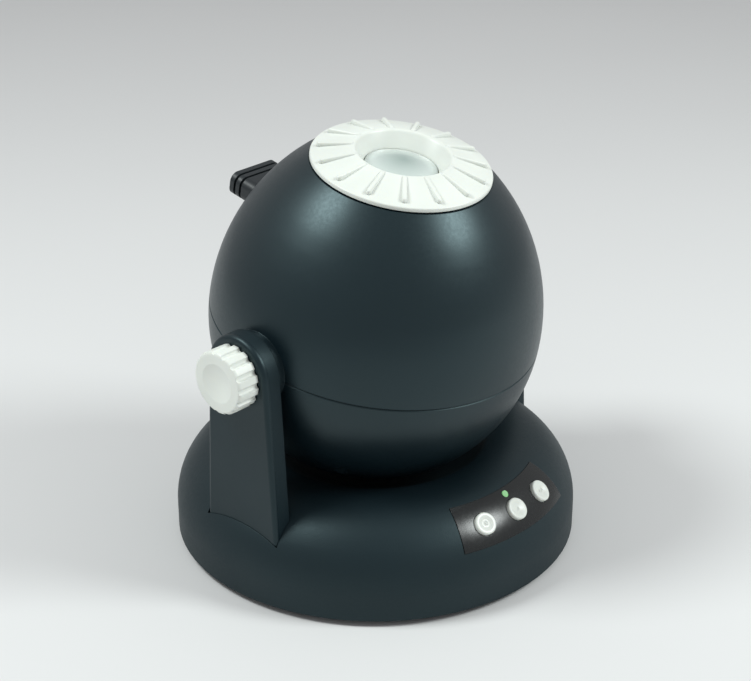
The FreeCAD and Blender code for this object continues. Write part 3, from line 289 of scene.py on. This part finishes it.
def white_plastic(name, roughness=0.32):
    """Warm white plastic with a soft depth to it and a trace of handling."""
    s = moulded(name, warm_white, roughness, grain=0.000012, worn=0.05, specular=0.5)
    s.set("Subsurface Weight", 0.12)
    s.set("Subsurface Radius", (0.0016, 0.0014, 0.0011))
    s.set("Subsurface Scale", 0.6)
    return s


def ring_white():
    return white_plastic("ring_white", 0.34).material


def barrel_white():
    return moulded("barrel_white", (222, 227, 221), 0.5, worn=0.1).material


def knob_plastic():
    return white_plastic("knob_plastic", 0.36).material


def button_white():
    return white_plastic("button_white", 0.3).material


def panel_gloss():
    s = moulded("panel_gloss", (12, 17, 19), 0.26, grain=0.000003, worn=0.3, specular=0.55)
    return s.material


def inner_black():
    return moulded("inner_black", (17, 17, 18), 0.62, grain=0.00005, grain_scale=1400, worn=0.3).material


def acetal():
    s = moulded("acetal", (226, 226, 214), 0.42, grain=0.00001, worn=0.1)
    s.set("Subsurface Weight", 0.25)
    s.set("Subsurface Radius", (0.003, 0.003, 0.0025))
    s.set("Subsurface Scale", 0.6)
    return s.material


def nylon():
    return moulded("nylon", (205, 203, 190), 0.5, worn=0.1).material


def across_head(s):
    """The head's own X and Y of a point, in metres, with its height left out."""
    turned = s.node("ShaderNodeVectorRotate", rotation_type="X_AXIS")
    s.feed(turned.inputs["Vector"], s.place)
    turned.inputs["Center"].default_value = joint("head_tilt")["pos_m"]
    up = joint("focus_turn")["axis"]
    turned.inputs["Angle"].default_value = -math.atan2(-up[1], up[2])
    level = s.node("ShaderNodeVectorMath", operation="MULTIPLY")
    s.feed(level.inputs[0], turned.outputs["Vector"])
    level.inputs[1].default_value = (1, 1, 0)
    return level.outputs["Vector"]


def lens_glass():
    """Milky coated glass, with painted shade: darker in the middle and pale towards the rim."""
    s = Surface("lens_glass", 0.1)
    s.set("Transmission Weight", 0.3)
    s.set("IOR", 1.5)
    s.set("Coat Weight", 0.7)
    s.set("Coat Roughness", 0.04)
    radius = s.node("ShaderNodeVectorMath", operation="LENGTH")
    s.feed(radius.inputs[0], across_head(s))
    haze = s.fit(s.noise(60, 3), 0.35, 0.65)
    body = s.mix(haze, linear((168, 186, 180)), linear((180, 196, 190)))
    # Painted shade: the base colour is darker in the lens's middle and paler towards its rim
    outwards = s.fit(radius.outputs["Value"], lens_painted_shade_start, lens_painted_shade_end)
    s.set("Base Color", s.mix(outwards, body, linear((228, 237, 233))))
    s.set("Specular Tint", linear((206, 232, 222)))
    return s.material


def star_film():
    """Dark film with clear dots of four sizes and a faint cloudy band."""
    s = Surface("star_film", 0.16)
    place = across_head(s)
    dots = 0.0
    for scale, size in star_dots:
        near = s.cells(scale, place=place)
        dots = s.math("MAXIMUM", dots, s.fit(near.outputs["Distance"], size, size * 0.6))
    band = s.fit(s.noise(60, 4, 0.8, place=s.stretch(0.35, 1.0, 0.0)), 0.5, 0.78, 0.0, 0.3)
    ink = s.mix(band, linear((7, 8, 20)), linear((42, 44, 82)))
    s.set("Base Color", s.mix(dots, ink, linear((235, 238, 245))))
    s.set("Coat Weight", 0.6)
    s.set("Coat Roughness", 0.05)
    return s.material


def metal(name, colour, roughness, brushed=(1, 1, 60)):
    s = Surface(name, roughness, metallic=1.0)
    normal, edges = s.rounded(0.00015)
    lines = s.noise(260, 3, place=s.stretch(*brushed))
    base = linear(colour)
    s.set("Base Color", s.mix(s.fit(lines, 0.3, 0.7), base, tuple(c * 0.86 for c in base[:3]) + (1.0,)))
    s.set("Roughness", s.fit(lines, 0.3, 0.7, roughness * 0.8, roughness * 1.25))
    s.bump(lines, 0.000006, normal)
    return s.material


def screw_steel():
    return metal("screw_steel", (188, 190, 192), 0.28, (1, 1, 1))


def motor_can():
    return metal("motor_can", (178, 180, 182), 0.32)


def sink_aluminium():
    return metal("sink_aluminium", (202, 204, 206), 0.36, (1, 40, 1))


def socket_metal():
    return metal("socket_metal", (190, 191, 193), 0.22, (1, 12, 1))


def contact_nickel():
    return metal("contact_nickel", (200, 198, 188), 0.25, (1, 12, 1))


def board():
    """Green solder mask with paler tracks under it and tinned pads."""
    s = Surface("board", 0.34)
    tracks = s.fit(s.cells(240, "DISTANCE_TO_EDGE").outputs["Distance"], 0.03, 0.05)
    pads = s.fit(s.cells(330).outputs["Distance"], 0.16, 0.13)
    mask = s.mix(tracks, linear((34, 112, 70)), linear((14, 74, 44)))
    s.set("Base Color", s.mix(pads, mask, linear((196, 196, 188))))
    s.set("Metallic", pads)
    s.bump(s.math("ADD", pads, tracks), 0.00003)
    return s.material


def led():
    s = Surface("led", 0.12)
    middle = s.fit(s.noise(500, 2), 0.3, 0.7)
    s.set("Base Color", s.mix(middle, linear((238, 196, 74)), linear((250, 222, 120))))
    s.set("Coat Weight", 1.0)
    return s.material


def switch_black():
    return moulded("switch_black", (20, 20, 21), 0.48, worn=0.2).material


def light_pipe():
    s = Surface("light_pipe", 0.2)
    s.set("Transmission Weight", 0.6)
    tint = s.mix(s.fit(s.noise(900, 2), 0.3, 0.7), linear((196, 236, 190)), linear((220, 248, 214)))
    s.set("Base Color", tint)
    s.set("Emission Color", linear((120, 240, 130)))
    s.set("Emission Strength", 0.1)
    return s.material


def cell_jacket():
    """A plain printed jacket: one dark band and one paler one, on a shrunk sleeve."""
    s = Surface("cell_jacket", 0.28)
    along = s.node("ShaderNodeSeparateXYZ")
    s.feed(along.inputs[0], s.place)
    step = s.fit(along.outputs["X"], 0.0075, 0.0078)
    s.set("Base Color", s.mix(step, linear((52, 96, 74)), linear((196, 178, 116))))
    s.set("Coat Weight", 0.5)
    s.bump(s.noise(900, 2), 0.00001)
    return s.material


def foot_rubber():
    return moulded("foot_rubber", (24, 24, 25), 0.78, grain=0.00006, grain_scale=1100, worn=0.5).material


SURFACES = (head_shell, base_shell, arm_plastic, arm_skin, tray_skin, grip_plastic, ring_white, barrel_white,
            knob_plastic, button_white, panel_gloss, inner_black, acetal, nylon, lens_glass, star_film,
            screw_steel, motor_can, sink_aluminium, socket_metal, contact_nickel, board, led, switch_black,
            light_pipe, cell_jacket, foot_rubber)
MATERIALS = {make.__name__: make() for make in SURFACES}


def dress_nodes():
    """Gives every piece of the construction the material of its slot."""
    for subpart in frame["record"]["subparts"]:
        node = frame["nodes"][subpart["node"]]
        for slot in node.material_slots:
            slot.material = MATERIALS[subpart["material_slot"]]


def rounded_path(corners, steps=5):
    """A closed path through corners (r, z, radius), each rounded by its radius."""
    path = []
    count = len(corners)
    for i, (r, z, radius) in enumerate(corners):
        here = Vector((r, z))
        before, after = (Vector(corners[(i + k) % count][:2]) - here for k in (-1, 1))
        if radius == 0:
            path.append(here)
            continue
        turn = before.angle(after)
        reach = radius / math.tan(turn / 2)
        start, end = here + before.normalized() * reach, here + after.normalized() * reach
        middle = here + (before.normalized() + after.normalized()).normalized() * radius / math.sin(turn / 2)
        first, sweep = start - middle, (start - middle).angle_signed(end - middle)
        for k in range(steps + 1):
            path.append(middle + Matrix.Rotation(-sweep * k / steps, 2) @ first)
    return path


def new_piece(name, mesh, slot, body, place):
    """A smooth-shaded object from a bmesh, with the matrix that sets it in the row frame."""
    data = bpy.data.meshes.new(name)
    mesh.transform(place)
    bmesh.ops.recalc_face_normals(mesh, faces=mesh.faces)
    mesh.to_mesh(data)
    mesh.free()
    for face in data.polygons:
        face.use_smooth = True
    data.materials.append(MATERIALS[slot])
    piece = bpy.data.objects.new(name, data)
    bpy.context.scene.collection.objects.link(piece)
    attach(piece, body)
    return piece


def revolved(mesh, path, segments):
    """Adds the closed surface that a path (r, z) makes round the Z axis."""
    rings = []
    for i in range(segments):
        angle = 2 * math.pi * i / segments
        rings.append([mesh.verts.new((p.x * math.cos(angle), p.x * math.sin(angle), p.y)) for p in path])
    for i in range(segments):
        a, b = rings[i], rings[(i + 1) % segments]
        for k in range(len(path)):
            n = (k + 1) % len(path)
            mesh.faces.new((a[k], a[n], b[n], b[k]))


def ring_top(radius):
    """Height of the ring's sloping face at a radius."""
    return ring_low + ring_edge + (ring_radius - radius) * math.tan(math.radians(ring_slope))


def focus_ring():
    """The white ring with its rounded rim and lip, and its ribs."""
    mesh = bmesh.new()
    funnel_top = ring_top(rim_radius)
    corners = [
        (ring_radius, ring_low, 0.35), (ring_radius, ring_top(ring_radius), 0.7),
        (rim_radius, funnel_top, rim_round), (throat_radius, throat_top, 1.2),
        (throat_radius, throat_low, 0.2), (throat_radius + 1.8, throat_low, 0.2),
        (throat_radius + 1.8, throat_top - 1, 0.5), (rim_radius + ring_wall, funnel_top - 2 * ring_wall, 0.5),
        (skirt_inner, ring_top(skirt_inner) - 1.2 * ring_wall, 0.5), (skirt_inner, skirt_end, 0.2),
        (skirt_outer, skirt_end, 0.2), (skirt_outer, ring_low + 0.7, 0.2),
        (ring_radius - 1.2, ring_low + 0.7, 0.2), (ring_radius - 1.2, ring_low, 0.2)]
    revolved(mesh, rounded_path(corners), 360)
    for i in range(rib_count):
        add_rib(mesh, math.radians(rib_phase + 360 / rib_count * i))
    piece = new_piece("focus_ring_look", mesh, "ring_white", "ring", HEAD)
    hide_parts("focus_ring")
    return piece


def rib_stations():
    """Places along a rib, each with its share of the full width. Both ends are round."""
    start, end = rim_radius + rib_half + 0.5, rib_outer - rib_half
    quarter = [math.pi / 2 * k / 8 for k in range(9)]
    inner = [(start - rib_half * math.cos(t), math.sin(t)) for t in quarter]
    middle = [(start + (end - start) * k / 8, 1.0) for k in range(1, 8)]
    outer = [(end + rib_half * math.sin(t), math.cos(t)) for t in quarter]
    return inner + middle + outer


def add_rib(mesh, angle):
    """One bar on the sloping face. It grows from the rim to its outer end, and its edges are rounded."""
    stations = rib_stations()
    first, last = stations[0][0], stations[-1][0]
    turned = Matrix.Rotation(angle, 4, "Z")
    rows = []
    for radius, width in stations:
        share = max(width, 0.02)
        grown = rib_start_height + (rib_end_height - rib_start_height) * (radius - first) / (last - first)
        rim_fall = max(0.0, rim_radius + 2.5 - radius) ** 2 * 0.18
        foot = ring_top(radius) - 0.6
        top = foot + 0.6 - rim_fall + grown * share ** 0.3
        row = []
        for k in range(-8, 9):
            lean = abs(k) / 8
            lift = (1 - lean ** 7) ** 0.6
            across = math.copysign(lean, k) * (rib_half + (rib_top_half - rib_half) * lift) * share
            row.append(mesh.verts.new(turned @ Vector((radius, across, foot + (top - foot) * lift))))
        rows.append(row)
    for a, b in zip(rows, rows[1:]):
        for k in range(len(a) - 1):
            mesh.faces.new((a[k], b[k], b[k + 1], a[k + 1]))
        mesh.faces.new((a[0], a[-1], b[-1], b[0]))
    mesh.faces.new(list(reversed(rows[0])))
    mesh.faces.new(rows[-1])


def clusters(node, place, reach):
    """The vertices of a node's separate pieces, none wider than reach, in the frame of a placing matrix."""
    groups = []
    back = place.inverted() @ frame["nodes"][node].matrix_world
    for vertex in frame["nodes"][node].data.vertices:
        point = back @ vertex.co
        near = next((g for g in groups if (g[0].xy - point.xy).length < reach), None)
        if near is None:
            groups.append([point])
        else:
            near.append(point)
    return groups


def middle_and_ends(points):
    """The middle of a piece across Z, and its lowest and highest Z."""
    xs, ys, zs = ([p[k] for p in points] for k in range(3))
    return (min(xs) + max(xs)) / 2, (min(ys) + max(ys)) / 2, min(zs), max(zs)


def cross_radius(angle):
    """The outline of a cross recess at an angle."""
    turn = (angle + math.pi / 4) % (math.pi / 2) - math.pi / 4
    if abs(math.tan(turn)) <= recess_half / recess_arm + 1e-6:
        return recess_arm / math.cos(turn)
    return recess_half / abs(math.sin(turn))


def add_screw(mesh, x, y, low, high):
    """A pan-head screw with its head below, a cross recess and a pointed tip."""
    corner = math.degrees(math.atan2(recess_half, recess_arm))
    steps = (-45, -36, -27, -corner, 0, corner, 27, 36)
    turns = [quarter + step for quarter in (0, 90, 180, 270) for step in steps]
    loops = [
        (0.7, low + recess_depth, True), (1.0, low, True), (1.75, low, False), (2.4, low + 0.16, False),
        (2.82, low + 0.6, False), (screw_head_radius, low + 1.1, False),
        (screw_head_radius, low + screw_head_height, False),
        (screw_shank_radius, low + screw_head_height, False),
        (screw_shank_radius, high - screw_tip_length, False), (screw_tip_radius, high, False)]
    rows = []
    for size, height, crossed in loops:
        row = []
        for turn in turns:
            angle = math.radians(turn)
            radius = size * cross_radius(angle) if crossed else size
            row.append(mesh.verts.new((x + radius * math.cos(angle), y + radius * math.sin(angle), height)))
        rows.append(row)
    for a, b in zip(rows, rows[1:]):
        for k in range(len(turns)):
            n = (k + 1) % len(turns)
            mesh.faces.new((a[k], b[k], b[n], a[n]))
    mesh.faces.new(rows[0])
    mesh.faces.new(list(reversed(rows[-1])))


def fine_screws(node, body, place):
    mesh = bmesh.new()
    for points in clusters(node, place, 9):
        add_screw(mesh, *middle_and_ends(points))
    piece = new_piece(node + "_look", mesh, "screw_steel", body, place)
    sharpen(piece, 40)
    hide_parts(node)


def sharpen(piece, degrees):
    """Keeps the edges sharp where faces meet at more than an angle."""
    piece.data.set_sharp_from_angle(angle=math.radians(degrees))


def feet():
    """Rubber feet with a rounded edge and two grooves round the sole."""
    mesh = bmesh.new()
    sole = [(0.01, 0, 0)]
    for start in groove_starts:
        end = start + groove_width
        sole += [(start, 0, 0.1), (start, groove_depth, 0.1), (end, groove_depth, 0.1), (end, 0, 0.1)]
    sole += [(foot_radius, 0, 0.8), (foot_radius, foot_height, 0.1), (0.01, foot_height, 0)]
    place = Matrix.Scale(MM, 4)
    path = rounded_path(sole, 3)
    for points in clusters("rubber_feet", place, 16):
        x, y, _, _ = middle_and_ends(points)
        foot = bmesh.new()
        revolved(foot, path, 48)
        foot.transform(Matrix.Translation((x, y, 0)))
        data = bpy.data.meshes.new("foot")
        foot.to_mesh(data)
        foot.free()
        mesh.from_mesh(data)
        bpy.data.meshes.remove(data)
    piece = new_piece("rubber_feet_look", mesh, "foot_rubber", "base", place)
    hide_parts("rubber_feet")


def button(node, body, press, pips):
    """A push button with a rounded edge, a shallow dish and raised pips that tell it by touch."""
    out = -Vector(joint(press)["axis"])
    solid = frame["nodes"][node]
    points = [solid.matrix_world @ v.co for v in solid.data.vertices]
    top, foot = max(p.dot(out) for p in points), min(p.dot(out) for p in points)
    crown = [p for p in points if p.dot(out) > top - 0.02 * MM]
    centre = sum(crown, Vector()) / len(crown)
    across = Vector((0, 0, 1)).cross(out).normalized()
    turn = Matrix((across, out.cross(across), out)).transposed().to_4x4()
    place = Matrix.Translation(centre) @ turn @ Matrix.Scale(MM, 4)
    depth = (top - foot) / MM
    shelf = -(depth_of_flange(points, out, top) / MM)
    path = rounded_path([
        (0.01, -depth, 0), (stem_radius, -depth, 0.2), (stem_radius, shelf - 1, 0.2),
        (flange_radius, shelf - 1, 0.15), (flange_radius, shelf, 0.15),
        (cap_radius, shelf, 0.15), (cap_radius, 0, cap_edge), (cap_radius * 0.72, 0, 1.0),
        (cap_radius * 0.35, -cap_dish, 1.2), (0.01, -cap_dish, 0)], 5)
    mesh = bmesh.new()
    revolved(mesh, path, 72)
    for k in range(pips):
        spot = Matrix.Translation(((k - (pips - 1) / 2) * pip_pitch, 0, -cap_dish))
        spot = spot @ Matrix.Scale(0.6, 4, (0, 0, 1))
        bmesh.ops.create_uvsphere(mesh, u_segments=20, v_segments=10, radius=pip_radius, matrix=spot)
    piece = new_piece(node + "_look", mesh, "button_white", body, place)
    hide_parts(node)


def depth_of_flange(points, out, top):
    """How far below its top a button's flange begins, at the nearest points wider than its cap."""
    crown = [p for p in points if p.dot(out) > top - 0.02 * MM]
    centre = sum(crown, Vector()) / len(crown)
    wider = (flange_radius - 0.2) * MM
    arms = [(p - centre, top - p.dot(out)) for p in points]
    return min(depth for arm, depth in arms if (arm - out * arm.dot(out)).length > wider)


def door_grip():
    """Low ridges for a fingertip, near one end of the battery door."""
    mesh = bmesh.new()
    for k in range(door_ridges):
        spot = Matrix.Translation((door_ridge_x + door_ridge_pitch * k, 0, door_low))
        spot = spot @ Matrix.Diagonal(door_ridge_size)
        bmesh.ops.create_cube(mesh, size=1.0, matrix=spot)
    bmesh.ops.bevel(mesh, geom=mesh.edges[:], offset=0.25, segments=3, affect="EDGES", profile=0.5)
    piece = new_piece("battery_door_ridges", mesh, "base_shell", "door", Matrix.Scale(MM, 4))
    sharpen(piece, 60)


def camera_rotation():
    """The camera's axes as a matrix: right, up, towards it."""
    a, e = math.radians(camera_azimuth), math.radians(camera_elevation)
    towards = Vector((math.sin(a) * math.cos(e), -math.cos(a) * math.cos(e), math.sin(e)))
    right = Vector((math.cos(a), math.sin(a), 0.0))
    return Matrix((right, towards.cross(right), towards)).transposed()


def set_camera():
    pivot = Vector(joint("head_tilt")["pos_m"])
    data = bpy.data.cameras.new("camera")
    data.lens = camera_lens
    data.clip_start = 0.05
    camera = bpy.data.objects.new("camera", data)
    bpy.context.scene.collection.objects.link(camera)
    camera.location = pivot + camera_rotation() @ Vector((0, 0, camera_distance))
    look = Vector(aim_point) - camera.location
    camera.rotation_euler = look.to_track_quat("-Z", "Y").to_euler()
    bpy.context.scene.camera = camera


def add_lamp(name, direction, power, size):
    pivot = Vector(joint("head_tilt")["pos_m"])
    away = camera_rotation() @ Vector(direction).normalized()
    data = bpy.data.lights.new(name, "AREA")
    data.shape = "DISK"
    data.size = size
    data.energy = power
    data.color = lamp_colour
    lamp = bpy.data.objects.new(name, data)
    bpy.context.scene.collection.objects.link(lamp)
    lamp.location = pivot + away * lamp_distance
    lamp.rotation_euler = away.to_track_quat("Z", "Y").to_euler()


def set_world():
    """Soft light all round. The camera, gloss and glass all see the same pale backdrop."""
    world = bpy.data.worlds.new("studio")
    bpy.context.scene.world = world
    world.use_nodes = True
    tree = world.node_tree
    path = tree.nodes.new("ShaderNodeLightPath")
    seen = None
    light = (world_light, world_light, world_light * 1.02, 1)
    for name in ("Is Transmission Ray", "Is Camera Ray", "Is Glossy Ray"):
        mix = tree.nodes.new("ShaderNodeMix")
        mix.data_type = "RGBA"
        tree.links.new(path.outputs[name], mix.inputs[0])
        if seen is None:
            mix.inputs[6].default_value = light
        else:
            tree.links.new(seen, mix.inputs[6])
        mix.inputs[7].default_value = (backdrop, backdrop, backdrop, 1)
        seen = mix.outputs[2]
    tree.links.new(seen, tree.nodes["Background"].inputs["Color"])


def add_floor():
    mesh = bpy.data.meshes.new("floor")
    reach = 6.0
    corners = [(-reach, -reach, 0), (reach, -reach, 0), (reach, reach, 0), (-reach, reach, 0)]
    mesh.from_pydata(corners, [], [(0, 1, 2, 3)])
    s = Surface("floor", 0.7, specular=0.2)
    s.set("Base Color", s.mix(s.noise(3, 2), (0.72, 0.72, 0.717, 1), (0.75, 0.75, 0.747, 1)))
    mesh.materials.append(s.material)
    floor = bpy.data.objects.new("floor", mesh)
    bpy.context.scene.collection.objects.link(floor)


def main():
    scene = bpy.context.scene
    scene.view_settings.view_transform = "Standard"
    set_camera()
    set_world()
    add_floor()
    add_lamp("key", key_direction, key_power, lamp_size)
    add_lamp("fill", fill_direction, fill_power, lamp_size)
    dress_nodes()
    focus_ring()
    feet()
    row_frame = Matrix.Scale(MM, 4)
    fine_screws("base_screws", "base", row_frame)
    fine_screws("arm_screws", "base", row_frame)
    fine_screws("door_screws", "door", row_frame)
    fine_screws("shell_screws", "head", HEAD)
    button("rotation_button", "rotation_key", "rotation_press", 1)
    button("power_button", "power_key", "power_press", 0)
    button("timer_button", "timer_key", "timer_press", 2)
    door_grip()


main()
